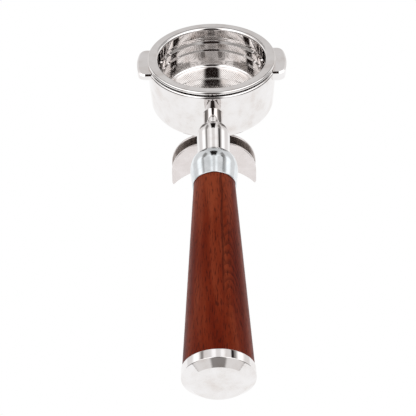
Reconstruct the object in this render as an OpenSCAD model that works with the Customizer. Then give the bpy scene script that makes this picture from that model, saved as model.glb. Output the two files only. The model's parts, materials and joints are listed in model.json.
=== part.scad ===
// Espresso machine portafilter with a double spout and a turned wooden handle.
// Millimetres. +Z is up. The origin is the centre of the basket's rim, on its sealing face.
// The handle points along -Y and slopes down; the two bayonet lugs point along +X and -X.

/* [Filter basket] */
// Inside diameter of the basket's straight wall, where a tamper goes
basket_bore_d = 58.5; // [48:0.5:71]
// Width of the rim, from the straight wall out to the rolled edge
rim_width = 5.75; // [4.8:0.05:7]
// Height of the basket, from the sealing face to the underside of its floor
basket_h = 24.2; // [20:0.1:32]
// Thickness of the basket's sheet steel
sheet_t = 0.7; // [0.5:0.1:0.8]
// How far the basket narrows from its wall to its floor, on the radius
basket_taper = 2.35; // [1.2:0.05:4]
// How far the holding ridge stands out of the basket's wall
ridge_out = 0.8; // [0.4:0.1:1]

/* [Cup body] */
// How far the cup's top edge stands out past the basket's rim, on the radius
cup_overhang = 0.4; // [0.2:0.1:1]
// Gap between the ridge of the basket and the cup's bore, on the radius
basket_play = 0.25; // [0.15:0.05:0.5]
// How far the cup narrows from its top edge to its base, on the radius
cup_draft = 1.5; // [0.5:0.1:2.5]
// Radius of the rounded edge at the cup's base
cup_round = 7; // [4:0.5:8]
// Height of the chamber under the basket
chamber_h = 4.8; // [4:0.1:8]
// Thickness of the cup's floor
cup_floor = 4; // [3:0.1:6]

/* [Bayonet lugs] */
// How far each lug stands out of the cup's top edge
lug_reach = 5.4; // [4:0.1:7]
// Length of a lug along the handle's direction
lug_len = 25.4; // [18:0.1:32]
// Thickness of a lug
lug_t = 5.8; // [4.6:0.1:7]
// Depth of the lead-in ramp under the leading end of a lug
ramp_depth = 2; // [1:0.1:3]
// Length of the lead-in ramp
ramp_len = 9; // [5:0.5:12]
// Radius of a lug's corners
lug_round = 4; // [2:0.5:5]
// Chamfer round the edges of a lug
lug_chamfer = 0.5; // [0.3:0.1:0.8]
// Drop from the sealing face to the top of the lugs
lug_drop = 2.6; // [2.1:0.1:4]

/* [Outlet and nipple] */
// Outside diameter of the outlet thread
thread_d = 16.6; // [13:0.1:20]
// Advance of the outlet thread in one turn
thread_pitch = 1.337; // [1:0.001:2]
// Bore that the coffee runs through
flow_d = 10; // [8:0.1:12]
// Height of the outlet boss under the cup
outlet_boss_h = 3; // [2:0.1:6]
// Wall of the outlet boss round its thread
outlet_boss_wall = 3.6; // [2:0.1:6]
// Thickness of the gasket under the outlet boss
outlet_gasket_t = 1.5; // [1:0.1:2.5]
// Height of the nipple's hexagon
hex_h = 8; // [6:0.1:12]
// How far the hexagon's flats stand out past the thread, on the radius
hex_land = 0.2; // [0.1:0.05:2]
// Thickness of the gasket on top of the spout
spout_gasket_t = 1; // [0.8:0.1:2]
// Length of thread below the hexagon
spout_thread_len = 8; // [6:0.1:10]

/* [Double spout] */
// Width of the spout from one pouring tip to the other
spout_span = 48.4; // [44:0.1:58]
// Thickness of the spout from its front wall's face to its back wall's face
spout_depth = 10.6; // [9.5:0.1:13]
// Thickness of the channel's two side walls
spout_wall = 1.7; // [1.2:0.1:2.2]
// Thickness of the channel's floor
spout_floor = 2; // [1.5:0.1:3]
// Height of the collar above the arch
spout_collar_h = 8.5; // [7:0.1:12]
// Wall of the collar round its thread
spout_collar_wall = 1; // [0.8:0.1:2.5]
// Radius of the shoulder where the arch turns down
shoulder_r = 19.5; // [12:0.5:20]
// Height from the top of the arch to the pouring tips
spout_h = 29.5; // [26:0.1:36]
// Height of the arch's wall at its middle
crown_h = 17.5; // [16:0.1:19]

/* [Arm and boss] */
// Downward slope of the handle, in degrees
handle_tilt = 11; // [5:0.5:14]
// Depth of the handle's axis under the sealing face, at the cup's centre
axis_depth = 8; // [7:0.5:10]
// Diameter of the arm
arm_d = 10.2; // [8:0.1:12]
// Length of the arm between the cup and the boss
arm_len = 11.2; // [8:0.1:20]
// Diameter of the boss
boss_d = 17.2; // [14:0.1:22]
// Length of the boss
boss_len = 19.4; // [16:0.1:28]
// Radius of the boss's front edge
boss_round = 2; // [1:0.1:3]
// Radius of the fillet where the arm meets the cup
arm_fillet = 1.2; // [0.5:0.1:2]

/* [Handle] */
// Diameter of the threaded rod through the handle
rod_d = 10; // [8:0.1:12]
// Length of the rod's thread in the boss
rod_hold = 15; // [10:0.5:18]
// Thickness of the washer between the boss and the collar
washer_t = 1.2; // [0.8:0.1:2]
// Length of the metal collar
collar_len = 18; // [14:0.1:24]
// Largest diameter of the collar
collar_d = 24.6; // [22:0.1:30]
// Length of the collar's domed front
collar_dome = 8.2; // [6:0.1:10]
// How far the collar stands out past the wood, on the radius
collar_lip = 0.6; // [0.1:0.1:1]
// Length of wood that shows
grip_len = 112; // [85:1:135]
// Diameter of the wood at the collar
grip_front_d = 21.4; // [17.5:0.1:24]
// Diameter of the wood at the end cap
grip_rear_d = 33.7; // [27:0.1:40]
// Length of the wood's tenon inside the collar
tenon_len = 6; // [4:0.5:8]
// Wall of the collar round the tenon
tenon_wall = 1.8; // [1.2:0.1:2.2]
// Length of the brass bush in the front of the wood
bush_len = 16; // [8:0.5:24]
// Wall of the brass bush
bush_wall = 1.5; // [1:0.1:2]
// Height of the end cap's ring
cap_ring = 4.7; // [3:0.1:8]
// How far the end cap stands out past the wood, on the radius
cap_lip = 0.5; // [0.1:0.1:1]
// Height of the end cap's chamfer
cap_chamfer_h = 2.9; // [1:0.1:5]
// Width of the end cap's chamfer on the radius
cap_chamfer_w = 4; // [2:0.1:8]
// Length of the end cap's spigot inside the wood
spigot_len = 9; // [6:0.5:14]
// Diameter of the counterbore in the end of the wood
socket_d = 23; // [21:0.1:25]
// Width of the clamping nut across its flats
nut_flats = 17; // [15:0.1:18]
// Height of the clamping nut
nut_h = 8; // [6:0.1:10]
// Thickness of the washer under the clamping nut
nut_washer_t = 2; // [1:0.1:3]

/* [Holding spring] */
// Wire diameter of the spring ring that holds the basket
wire_d = 1.2; // [0.8:0.1:1.3]
// Depth of the spring under the sealing face
spring_drop = 5; // [4:0.1:5.2]
// Open angle of the spring ring, in degrees
spring_gap = 35; // [20:5:60]

/* [Fits] */
// Clearance on the radius between screwed pieces
slip = 0.05; // [0.02:0.01:0.1]

/* [Hidden] */
$fn = 96;
// Gap between faces that are pressed together
joint_gap = 0.01;
// How far a cut runs past the face it opens
past = 1;
// Small edge break on turned pieces
edge = 0.3;

// Basket: radii and depths under the sealing face
rb = basket_bore_d / 2;
rim_r = rb + rim_width;
rim_t = 2;
bead_r = rim_t / 2;
rim_fillet = 1.55;
ridge_z = 6.2;
ridge_rise = 1.4;
ridge_flat = 1;
wall_z = 13.3;
step_in = 0.25;
step_h = 1.1;
step_w = 0.6;
wall_skew = 0.2;
floor_round = 2;
floor_r = rb - basket_taper;
basket_floor_z = basket_h - sheet_t;

// Cup
cup_top_z = rim_t + 2 * joint_gap;
cup_r = rim_r + cup_overhang;
cup_base_r = cup_r - cup_draft;
cup_base_z = basket_h + chamber_h + cup_floor;
cup_edge = 1.2;
cup_bore_r = rb + sheet_t + ridge_out + basket_play;
cup_inner_round = 3;
floor_fall = 0.6;
outlet_fillet = 1.5;
spring_r = rb + sheet_t + wire_d / 2 + slip;
groove_play = 0.15;
lug_r = cup_r + lug_reach;

// Outlet stack, as depths under the sealing face
outlet_z = cup_base_z + outlet_boss_h;
hex_top_z = outlet_z + outlet_gasket_t;
hex_low_z = hex_top_z + hex_h;
collar_top_z = hex_low_z + spout_gasket_t;
crown_z = collar_top_z + spout_collar_h;
tip_z = crown_z + spout_h;
thread_r = thread_d / 2;
thread_bore_r = thread_r + slip;
hex_r = (thread_r + hex_land) / cos(30);
gasket_land = 0.6;
outlet_boss_r = thread_r + outlet_boss_wall;
spout_collar_r = thread_bore_r + spout_collar_wall;

// Spout arch: the underside is an arc through the crown and the two tips
half_span = spout_span / 2;
arch_rise = spout_h - crown_h;
arch_r = (half_span * half_span + arch_rise * arch_rise) / (2 * arch_rise);
arch_cz = crown_z + crown_h + arch_r;
channel_w = spout_depth - 2 * spout_wall;
hub_web = 1.5;
hub_lift = 1;
tip_cut = 1.2;
tip_rise = 2.5;

// Handle stations, as distances along its axis from the cup's centre line
boss_start = cup_r + arm_len;
boss_end = boss_start + boss_len;
collar_start = boss_end + washer_t;
grip_start = collar_start + collar_len;
grip_end = grip_start + grip_len;
cap_edge = grip_end + cap_ring;
cap_end = cap_edge + cap_chamfer_h;
rod_r = rod_d / 2;
rod_bore_r = rod_r + slip;
boss_r = boss_d / 2;
arm_root = 4;
collar_r = collar_d / 2;
collar_rear_r = grip_front_d / 2 + collar_lip;
collar_step = 0.8;
collar_front_r = boss_r + collar_step;
tenon_r = collar_rear_r - tenon_wall;
bush_r = rod_bore_r + bush_wall;
wood_play = 0.3;
washer_play = 0.2;
washer_gap = 0.7;
cap_r = grip_rear_d / 2 + cap_lip;
socket_r = socket_d / 2;
spigot_r = socket_r - slip;
nut_gap = 1;
nut_end = grip_end - spigot_len - nut_gap;
washer_end = nut_end - nut_h;
socket_floor = washer_end - nut_washer_t;
rod_start = boss_end - rod_hold;
rod_reach = 1;
rod_end = grip_end + rod_reach;

// Points of an arc in a section, from angle a0 to a1
function arc(cx, cz, r, a0, a1, n = 6) =
    [for (i = [0:n]) let (a = a0 + (a1 - a0) * i / n) [cx + r * cos(a), cz + r * sin(a)]];

// Puts a piece drawn along +Z onto the handle's sloping axis
module on_handle_axis() {
    translate([0, 0, -axis_depth])
        rotate([90 + handle_tilt, 0, 0])
            children();
}

// A plain ring or tube between two heights
module ring(r_out, r_in, z0, z1) {
    translate([0, 0, z0])
        difference() {
            cylinder(r = r_out, h = z1 - z0);
            translate([0, 0, -past]) cylinder(r = r_in, h = z1 - z0 + 2 * past);
        }
}

// Sheet steel basket with a rolled rim, a holding ridge and a flat floor
module basket() {
    low_z = basket_floor_z - floor_round;
    inside = concat(
        arc(rb + rim_fillet, -rim_fillet, rim_fillet, 90, 180),
        [[rb, -ridge_z],
         [rb + ridge_out, -ridge_z - ridge_rise],
         [rb + ridge_out, -ridge_z - ridge_rise - ridge_flat],
         [rb, -ridge_z - 2 * ridge_rise - ridge_flat],
         [rb - step_in, -wall_z],
         [rb - step_in - step_w, -wall_z - step_h]],
        arc(floor_r - floor_round, -low_z, floor_round, 0, -90),
        [[0, -basket_floor_z]]);
    outside = concat(
        [[0, -basket_h]],
        arc(floor_r - floor_round, -low_z, floor_round + sheet_t, -90, 0),
        [[rb - step_in - step_w + sheet_t, -wall_z - step_h - wall_skew],
         [rb - step_in + sheet_t, -wall_z - wall_skew],
         [rb + sheet_t, -ridge_z - 2 * ridge_rise - ridge_flat - wall_skew],
         [rb + ridge_out + sheet_t, -ridge_z - ridge_rise - ridge_flat],
         [rb + ridge_out + sheet_t, -ridge_z - ridge_rise],
         [rb + sheet_t, -ridge_z + wall_skew]],
        arc(rb + rim_fillet, -rim_fillet, rim_fillet - sheet_t, 180, 90, 4),
        arc(rim_r - bead_r, -bead_r, bead_r, 180 - asin(1 - sheet_t), 450, 14));
    color("silver")
        rotate_extrude()
            polygon(concat(inside, outside));
}

// Spring wire ring in the cup's groove, open at the front
module basket_spring() {
    color("lightgray")
        translate([0, 0, -spring_drop])
            rotate([0, 0, -90 + spring_gap / 2])
                rotate_extrude(angle = 360 - spring_gap)
                    translate([spring_r, 0]) circle(d = wire_d, $fn = 24);
}

// Outside of the cup, closed
module cup_outside() {
    round_z = cup_base_z - cup_round;
    rotate_extrude()
        polygon(concat(
            [[0, -outlet_z], [outlet_boss_r - edge, -outlet_z], [outlet_boss_r, -outlet_z + edge]],
            arc(outlet_boss_r + outlet_fillet, -cup_base_z - outlet_fillet, outlet_fillet, 180, 90, 4),
            arc(cup_base_r - cup_round, -round_z, cup_round, -90, 0, 8),
            arc(cup_r - cup_edge, -cup_top_z - cup_edge, cup_edge, 0, 90, 5),
            [[0, -cup_top_z]]));
}

// Everything that is bored out of the cup
module cup_inside() {
    low_z = basket_h + chamber_h;
    groove_r = spring_r + wire_d / 2 + groove_play;
    groove_h = wire_d / 2 + groove_play;
    rotate_extrude()
        polygon(concat(
            [[0, past], [cup_bore_r + edge, past], [cup_bore_r + edge, -cup_top_z],
             [cup_bore_r, -cup_top_z - edge],
             [cup_bore_r, -spring_drop + groove_h], [groove_r, -spring_drop + groove_h],
             [groove_r, -spring_drop - groove_h], [cup_bore_r, -spring_drop - groove_h]],
            arc(cup_bore_r - cup_inner_round, -low_z + cup_inner_round, cup_inner_round, 0, -90, 5),
            [[thread_bore_r, -low_z - floor_fall], [thread_bore_r, -outlet_z - past], [0, -outlet_z - past]]));
}

// A sharp-edged ring that cuts a chamfer round the top and the foot of an upright cylinder
module edge_cutter(r, low, high, angle) {
    c = lug_chamfer;
    rotate_extrude(angle = angle)
        polygon([[r - c, high], [r + c, high + 2 * c], [r + 2 * c, high], [r, high - c]]);
    rotate_extrude(angle = angle)
        polygon([[r - c, low], [r, low + c], [r + 2 * c, low], [r + c, low - 2 * c]]);
}

// Outline of a lug with rounded corners, between its foot and its top
module lug_block(low) {
    half = lug_len / 2;
    intersection() {
        translate([0, 0, low]) cylinder(r = lug_r, h = lug_t);
        union() {
            translate([0, -half + lug_round, low]) cube([lug_r, lug_len - 2 * lug_round, lug_t]);
            translate([0, -half, low]) cube([lug_r - lug_round, lug_len, lug_t]);
            for (side = [-1, 1])
                translate([lug_r - lug_round, side * (half - lug_round), low])
                    cylinder(r = lug_round, h = lug_t);
        }
    }
}

// One lug on the +X side, with its ramp under the +Y end
module lug() {
    low = -lug_drop - lug_t;
    high = -lug_drop;
    half = lug_len / 2;
    c = lug_chamfer;
    difference() {
        lug_block(low);
        // Lead-in ramp
        translate([0, half, low])
            rotate([90, 0, 90])
                linear_extrude(lug_r + past)
                    polygon([
                        [-ramp_len, 0],
                        [past, ramp_depth * (ramp_len + past) / ramp_len],
                        [past, -past],
                        [-ramp_len, -past]]);
        // Chamfers along the outer face, the corners and the two ends
        rotate([0, 0, -45]) edge_cutter(lug_r, low, high, 90);
        for (side = [0, 1])
            mirror([0, side, 0])
                translate([lug_r - lug_round, half - lug_round, 0]) edge_cutter(lug_round, low, high, 90);
        for (side = [0, 1])
            mirror([0, side, 0])
                translate([0, half, 0])
                    rotate([90, 0, 90])
                        linear_extrude(lug_r - lug_round)
                            polygon([[-c, high], [c, high + 2 * c], [2 * c, high], [0, high - c]]);
    }
}

// Arm and boss that carry the handle
module arm_and_boss() {
    arm_r = arm_d / 2;
    wall = cup_r - edge;
    on_handle_axis()
        rotate_extrude()
            polygon(concat(
                [[0, cup_r - arm_root], [arm_r + arm_fillet, cup_r - arm_root]],
                arc(arm_r + arm_fillet, wall + arm_fillet, arm_fillet, 270, 180, 5),
                [[arm_r, boss_start]],
                arc(boss_r - boss_round, boss_start + boss_round, boss_round, -90, 0, 5),
                [[boss_r - edge, boss_end], [0, boss_end]]));
}

// Forged cup with its two lugs, its arm and its boss, all one piece
module body() {
    color("gainsboro")
        difference() {
            union() {
                cup_outside();
                lug();
                rotate([0, 0, 180]) lug();
                arm_and_boss();
            }
            cup_inside();
            on_handle_axis()
                translate([0, 0, boss_end - rod_hold - past]) cylinder(r = rod_bore_r, h = rod_hold + 2 * past);
        }
}

// Flat ring that seals the nipple against the outlet boss
module outlet_gasket() {
    color("ivory")
        ring(hex_r + gasket_land, thread_bore_r + slip, -hex_top_z + joint_gap, -outlet_z - joint_gap);
}

// Hollow nipple: a hexagon between two threads
module spout_nipple() {
    foot = hex_low_z + spout_thread_len;
    head = basket_h + chamber_h + floor_fall + edge;
    color("silver")
        difference() {
            union() {
                translate([0, 0, -foot]) cylinder(r = thread_r, h = foot - head);
                translate([0, 0, -hex_low_z]) rotate([0, 0, 30]) cylinder(r = hex_r, h = hex_h, $fn = 6);
            }
            translate([0, 0, -foot - past]) cylinder(d = flow_d, h = foot - head + 2 * past);
        }
}

// Thin ring that seals the spout against the nipple
module spout_gasket() {
    color("ivory")
        ring(spout_collar_r - slip, thread_bore_r + slip, -collar_top_z + joint_gap, -hex_low_z - joint_gap);
}

// Outline of the arch, seen from the handle's side
module arch_outline() {
    foot = -tip_z;
    difference() {
        union() {
            for (side = [-1, 1])
                translate([side * (half_span - shoulder_r), -crown_z - shoulder_r]) circle(r = shoulder_r);
            translate([-half_span + shoulder_r, -crown_z - 2 * shoulder_r])
                square([spout_span - 2 * shoulder_r, 2 * shoulder_r]);
            translate([-half_span, foot]) square([spout_span, spout_h - shoulder_r]);
        }
        translate([0, -arch_cz]) circle(r = arch_r, $fn = 180);
        // The pouring tips lean in a little at the foot
        for (side = [0, 1])
            mirror([side, 0])
                polygon([
                    [half_span, foot + tip_rise],
                    [half_span - tip_cut, foot - joint_gap],
                    [half_span + past, foot - joint_gap],
                    [half_span + past, foot + tip_rise]]);
    }
}

// Hub above and inside the arch, which takes the nipple's thread
module spout_hub() {
    foot = crown_z + crown_h - spout_floor - hub_lift;
    tip_r = spout_depth / 2 - spout_wall / 2;
    cone_h = spout_collar_r - tip_r;
    translate([0, 0, -foot + cone_h]) cylinder(r = spout_collar_r, h = foot - cone_h - collar_top_z);
    translate([0, 0, -foot]) cylinder(r1 = tip_r, r2 = spout_collar_r, h = cone_h);
}

// Channel between the two side walls, open above, with windows through the hub
module spout_channel() {
    web = crown_z + hub_web;
    difference() {
        translate([-spout_span, -channel_w / 2, -tip_z - past])
            cube([2 * spout_span, channel_w, spout_h + 2 * past]);
        translate([0, channel_w, -arch_cz])
            rotate([90, 0, 0]) cylinder(r = arch_r + spout_floor, h = 2 * channel_w, $fn = 180);
        translate([0, 0, -web]) cylinder(r = spout_collar_r, h = hub_web + 2 * past);
    }
}

// Open channel that splits the flow into two pouring tips
module spout() {
    bore_low = hex_low_z + spout_thread_len + edge;
    color("lightgray")
        difference() {
            union() {
                translate([0, spout_depth / 2, 0]) rotate([90, 0, 0])
                    linear_extrude(spout_depth) arch_outline();
                spout_hub();
            }
            translate([0, 0, -bore_low]) cylinder(r = thread_bore_r, h = bore_low - hex_low_z);
            translate([0, 0, -crown_z - hub_web - past])
                cylinder(d = flow_d, h = crown_z + hub_web + past - hex_low_z);
            spout_channel();
        }
}

// Steel rod that ties the boss, the collar, the wood and the end cap together
module handle_rod() {
    color("dimgray")
        on_handle_axis()
            translate([0, 0, rod_start]) cylinder(r = rod_r, h = rod_end - rod_start);
}

// Washer between the boss and the collar
module collar_washer() {
    color("gainsboro")
        on_handle_axis()
            ring(collar_front_r - edge, rod_bore_r, boss_end + joint_gap, collar_start - joint_gap);
}

// Domed metal collar with a socket for the wood's tenon
module collar() {
    steps = 12;
    dome = [for (i = [0:steps]) let (a = 90 * i / steps)
        [collar_front_r + (collar_r - collar_front_r) * sin(a), collar_start + collar_dome * (1 - cos(a))]];
    color("gainsboro")
        on_handle_axis()
            rotate_extrude()
                polygon(concat(
                    [[rod_bore_r, collar_start]],
                    dome,
                    [[collar_rear_r, grip_start],
                     [tenon_r + slip, grip_start],
                     [tenon_r + slip, grip_start - tenon_len - slip],
                     [rod_bore_r, grip_start - tenon_len - slip]]));
}

// Brass bush that centres the rod in the front of the wood
module front_bush() {
    color("goldenrod")
        on_handle_axis()
            ring(bush_r, rod_bore_r, grip_start - tenon_len, grip_start - tenon_len + bush_len);
}

// Turned wooden grip
module grip() {
    color("sienna")
        on_handle_axis()
            rotate_extrude()
                polygon([
                    [bush_r + slip, grip_start - tenon_len],
                    [tenon_r, grip_start - tenon_len],
                    [tenon_r, grip_start + joint_gap],
                    [grip_front_d / 2, grip_start + joint_gap],
                    [grip_rear_d / 2, grip_end - joint_gap],
                    [socket_r, grip_end - joint_gap],
                    [socket_r, socket_floor],
                    [rod_bore_r + wood_play, socket_floor],
                    [rod_bore_r + wood_play, grip_start - tenon_len + bush_len + slip],
                    [bush_r + slip, grip_start - tenon_len + bush_len + slip]]);
}

// Steel washer in the wood's counterbore
module rear_washer() {
    color("silver")
        on_handle_axis()
            ring(socket_r - washer_gap, rod_bore_r + washer_play,
                socket_floor + joint_gap, washer_end - joint_gap);
}

// Hexagon nut that clamps the wood against the collar
module rear_nut() {
    color("silver")
        on_handle_axis()
            difference() {
                translate([0, 0, washer_end]) cylinder(r = nut_flats / 2 / cos(30), h = nut_h, $fn = 6);
                translate([0, 0, washer_end - past]) cylinder(r = rod_bore_r, h = nut_h + 2 * past);
            }
}

// Metal end cap, threaded onto the rod
module end_cap() {
    color("gainsboro")
        on_handle_axis()
            rotate_extrude()
                polygon([
                    [rod_bore_r, grip_end - spigot_len],
                    [spigot_r, grip_end - spigot_len],
                    [spigot_r, grip_end],
                    [cap_r - edge, grip_end],
                    [cap_r, grip_end + edge],
                    [cap_r, cap_edge],
                    [cap_r - cap_chamfer_w, cap_end],
                    [0, cap_end],
                    [0, rod_end + past],
                    [rod_bore_r, rod_end + past]]);
}

body();
basket();
basket_spring();
outlet_gasket();
spout_nipple();
spout_gasket();
spout();
handle_rod();
collar_washer();
collar();
front_bush();
grip();
rear_washer();
rear_nut();
end_cap();
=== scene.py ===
import json
from math import atan2, cos, hypot, pi, radians, sin, sqrt, tan

import bmesh
import bpy
from bmesh.types import BMEdge, BMFace, BMVert
from mathutils import Matrix, Vector


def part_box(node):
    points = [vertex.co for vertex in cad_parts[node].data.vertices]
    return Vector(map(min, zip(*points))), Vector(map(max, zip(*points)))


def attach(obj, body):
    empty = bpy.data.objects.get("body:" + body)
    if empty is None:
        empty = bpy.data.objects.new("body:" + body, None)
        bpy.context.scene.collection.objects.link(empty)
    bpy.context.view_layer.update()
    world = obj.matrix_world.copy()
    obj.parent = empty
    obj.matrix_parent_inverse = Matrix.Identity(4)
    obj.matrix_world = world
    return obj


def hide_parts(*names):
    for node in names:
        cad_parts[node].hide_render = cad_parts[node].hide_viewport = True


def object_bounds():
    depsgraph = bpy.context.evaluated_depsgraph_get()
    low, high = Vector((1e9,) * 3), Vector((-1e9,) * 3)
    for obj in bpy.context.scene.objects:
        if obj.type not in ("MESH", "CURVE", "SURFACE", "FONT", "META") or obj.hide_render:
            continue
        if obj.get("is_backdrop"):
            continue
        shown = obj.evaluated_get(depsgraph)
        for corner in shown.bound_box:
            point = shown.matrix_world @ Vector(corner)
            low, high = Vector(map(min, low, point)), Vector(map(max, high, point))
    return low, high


bl_info = {
    "name": "Portafilter",
    "version": (1, 0, 0),
    "blender": (4, 5, 0),
    "location": "3D View > Sidebar > Portafilter",
    "description": "Finished pieces, materials and studio of a portafilter, built around its packed frame",
    "category": "Add Mesh",
}

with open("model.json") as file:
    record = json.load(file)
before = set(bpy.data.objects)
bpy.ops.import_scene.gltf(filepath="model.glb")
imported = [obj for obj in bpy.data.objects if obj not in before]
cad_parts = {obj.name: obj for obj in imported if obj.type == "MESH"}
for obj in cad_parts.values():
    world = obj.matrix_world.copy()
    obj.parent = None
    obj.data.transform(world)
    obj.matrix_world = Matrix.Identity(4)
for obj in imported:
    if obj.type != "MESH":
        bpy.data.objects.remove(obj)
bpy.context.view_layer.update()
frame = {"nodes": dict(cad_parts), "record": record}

MM = 0.001
IDENTITY = Matrix.Identity(4)
WELD = 0.002 * MM  # points closer than this are one point
ON_PLANE = 0.001 * MM  # distance within which a point lies on a cutting plane
TOUCH = 0.01 * MM  # clearance between faces that would otherwise lie in one another
NEAR = 0.02 * MM  # distance within which two places count as one
SAG = 0.05 * MM  # how far inside its arc the middle of a flat face may lie
SLICE = 0.05 * MM  # half the thickness of the slice in which a radius is measured
STEADY = 0.12 * MM  # distance from a bend to the point that keeps the flat beside it flat
ROUNDED = radians(40)  # edges that turn by more than this are rounded
SHARP = radians(32)  # edges that turn by more than this are shaded sharp
ROUNDS = 20  # repeats that settle a place which is found step by step
WAVE_PERIOD = 2 * pi / 20  # length of one wave of the wave texture at a scale of 1
HAZIEST, CLEANEST = 0.3, 0.7  # range of the noise texture, nearly everywhere
CLEAN_TONE = 0.65  # noise at which a metal has its cleanest tone

# Soft panels of the tent and dark gaps between them: side, azimuth, width, elevation, height and
# softness in degrees, then colour and strength.
STUDIO_ZONES = (
    ("both", 116, 84, 52, 48, 8, "#FFFFFF", 1.7),
    ("both", 25, 20, 63, 26, 6, "#FFFFFF", 1.1),
    ("both", 0, 44, 18, 34, 7, "#D2D0CF", 1.0),
    ("both", 43, 32, 35, 14, 3, "#928F8D", 1.0),
    ("both", 80, 70, 22, 20, 6, "#FFFFFF", 1.25),
    ("both", 100, 70, -8, 54, 6, "#7A7775", 1.0),
    ("both", 125, 70, 20, 14, 4, "#9F9C9A", 1.0),
    ("one", 47, 20, 43.5, 7, 1.5, "#2B2727", 1.0),
    ("one", 0, 30, 46, 20, 2, "#1A1616", 1.0),
    ("both", 180, 28, -14, 50, 3, "#8E8A88", 1.0),
    ("both", 180, 40, 45, 66, 6, "#2B2321", 1.0),
)


# Places read from the frame

def handle_frame():
    """Matrix that puts +Z along the handle, from where its axis crosses the cup's centre line.

    The rod is a plain cylinder, so its box gives its radius, its slope and its middle.
    """
    low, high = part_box("handle_rod")
    size = high - low
    middle = (low + high) / 2
    radius = size.x / 2
    slope = 0.0
    for _ in range(ROUNDS):
        slope = atan2(size.z - 2 * radius * cos(slope), size.y - 2 * radius * sin(slope))
    start = Vector((middle.x, 0, middle.z - middle.y * tan(slope)))
    return Matrix.Translation(start) @ Matrix.Rotation(pi / 2 + slope, 4, "X"), slope


HANDLE, HANDLE_SLOPE = handle_frame()
HANDLE_BACK = HANDLE.inverted()


def handle_span(node_name):
    """First and last place of a node along the handle's axis."""
    along = [(HANDLE_BACK @ vertex.co).z for vertex in frame["nodes"][node_name].data.vertices]
    return min(along), max(along)


def handle_radius(node_name, place):
    """Largest radius of a node round the handle's axis at one place along it."""
    points = [HANDLE_BACK @ vertex.co for vertex in frame["nodes"][node_name].data.vertices]
    return max(hypot(point.x, point.y) for point in points if abs(point.z - place) < SLICE)


def cup_radius(height):
    """Largest radius of the cup at one height, measured at its back, away from the lugs and the arm."""
    points = [vertex.co for vertex in frame["nodes"]["body"].data.vertices]
    return max(hypot(point.x, point.y) for point in points
               if abs(point.z - height) < SLICE and point.y > abs(point.x))


def mount_radius(name):
    """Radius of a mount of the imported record."""
    for mount in frame["record"]["mounts"]:
        if mount["name"] == name:
            return mount["dims"]["r_mm"] * MM
    raise KeyError(name)


# Sizes and colours that can be changed

def length(name, about, millimetres):
    """A length property whose default is given in millimetres."""
    return bpy.props.FloatProperty(name=name, description=about, default=millimetres * MM,
                                   unit="LENGTH", subtype="DISTANCE", precision=5)


def turn(name, about, degrees):
    """An angle property whose default is given in degrees."""
    return bpy.props.FloatProperty(name=name, description=about, default=radians(degrees),
                                   unit="ROTATION", subtype="ANGLE")


def colour(code):
    """Linear colour from an sRGB hex value."""
    parts = [int(code[at:at + 2], 16) / 255 for at in (1, 3, 5)]
    return [part / 12.92 if part <= 0.04045 else ((part + 0.055) / 1.055) ** 2.4 for part in parts] + [1]


def paint(name, about, code):
    """A colour property whose default is an sRGB hex value."""
    return bpy.props.FloatVectorProperty(name=name, description=about, subtype="COLOR", size=4,
                                         min=0, max=1, default=colour(code))


class CupSizes(bpy.types.PropertyGroup):
    """Sizes of the forged cup, its lugs, its arm and its boss."""
    bore_r: length("Bore radius", "Inside radius of the cup", 31)
    top_edge: length("Top edge", "Rounding of the outer top edge", 1.2)
    round: length("Lower rounding", "Rounding between the wall and the base", 7)
    inner_round: length("Inner rounding", "Rounding between the bore and the chamber's floor", 3)
    floor: length("Floor", "Thickness of the floor under the chamber", 4)
    fall: length("Fall", "How far the chamber's floor falls towards the outlet", 0.6)
    outlet_h: length("Outlet height", "How far the outlet boss stands down from the base", 3)
    outlet_r: length("Outlet radius", "Outside radius of the outlet boss", 11.9)
    outlet_fillet: length("Outlet fillet", "Fillet between the base and the outlet boss", 1.5)
    thread_r: length("Outlet thread radius", "Radius of the outlet's threaded hole", 8.35)
    groove_h: length("Groove height", "Height of the groove that takes the spring", 1.5)
    groove_depth: length("Groove depth", "Depth of the groove in the bore", 0.35)
    edge: length("Small edge", "Rounding of the small turned edges", 0.4)
    seat_r: length("Land radius", "Outside radius of the land that the basket's rim rests on", 32)
    relief: length("Relief", "Height of the gap between the rim and the cup, outside the land", 0.8)
    lug_len: length("Lug length", "Length of each lug round the cup", 25.4)
    lug_t: length("Lug thickness", "Thickness of each lug", 5.8)
    lug_drop: length("Lug drop", "Depth of a lug's top under the sealing face", 2.6)
    lug_round: length("Lug corner", "Corner radius of each lug, seen from above", 4)
    lug_edge: length("Lug edge", "Width of the chamfer round each lug", 0.85)
    lug_root: length("Lug root", "Distance from the cup's axis to a lug's buried end", 32)
    ramp_len: length("Ramp length", "Length of the lead-in ramp under one end of each lug", 9)
    ramp_h: length("Ramp height", "Height of the lead-in ramp at its end", 2)
    arm_r: length("Arm radius", "Radius of the arm between the cup and the boss", 5.1)
    arm_fillet: length("Arm fillet", "Fillet where the arm leaves the cup", 0.4)
    arm_root: length("Arm root", "How deep the arm's root lies in the cup's wall", 1.8)
    neck_len: length("Neck length", "Length of the rounded neck between the arm and the boss", 1.8)
    neck_drop: length("Neck drop", "How much narrower the neck is than the arm", 1.2)
    boss_r: length("Boss radius", "Radius of the boss", 8.6)
    boss_taper: length("Boss taper", "How much narrower the boss is at the handle", 0.3)
    boss_len: length("Boss length", "Length of the boss", 19.4)
    bell_len: length("Bell length", "Length over which the boss's front swells", 6)
    bell_drop: length("Bell drop", "How much narrower the boss's front edge is", 1.2)
    rod_hold: length("Rod hold", "Depth of the rod's hole in the boss", 15)


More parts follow.
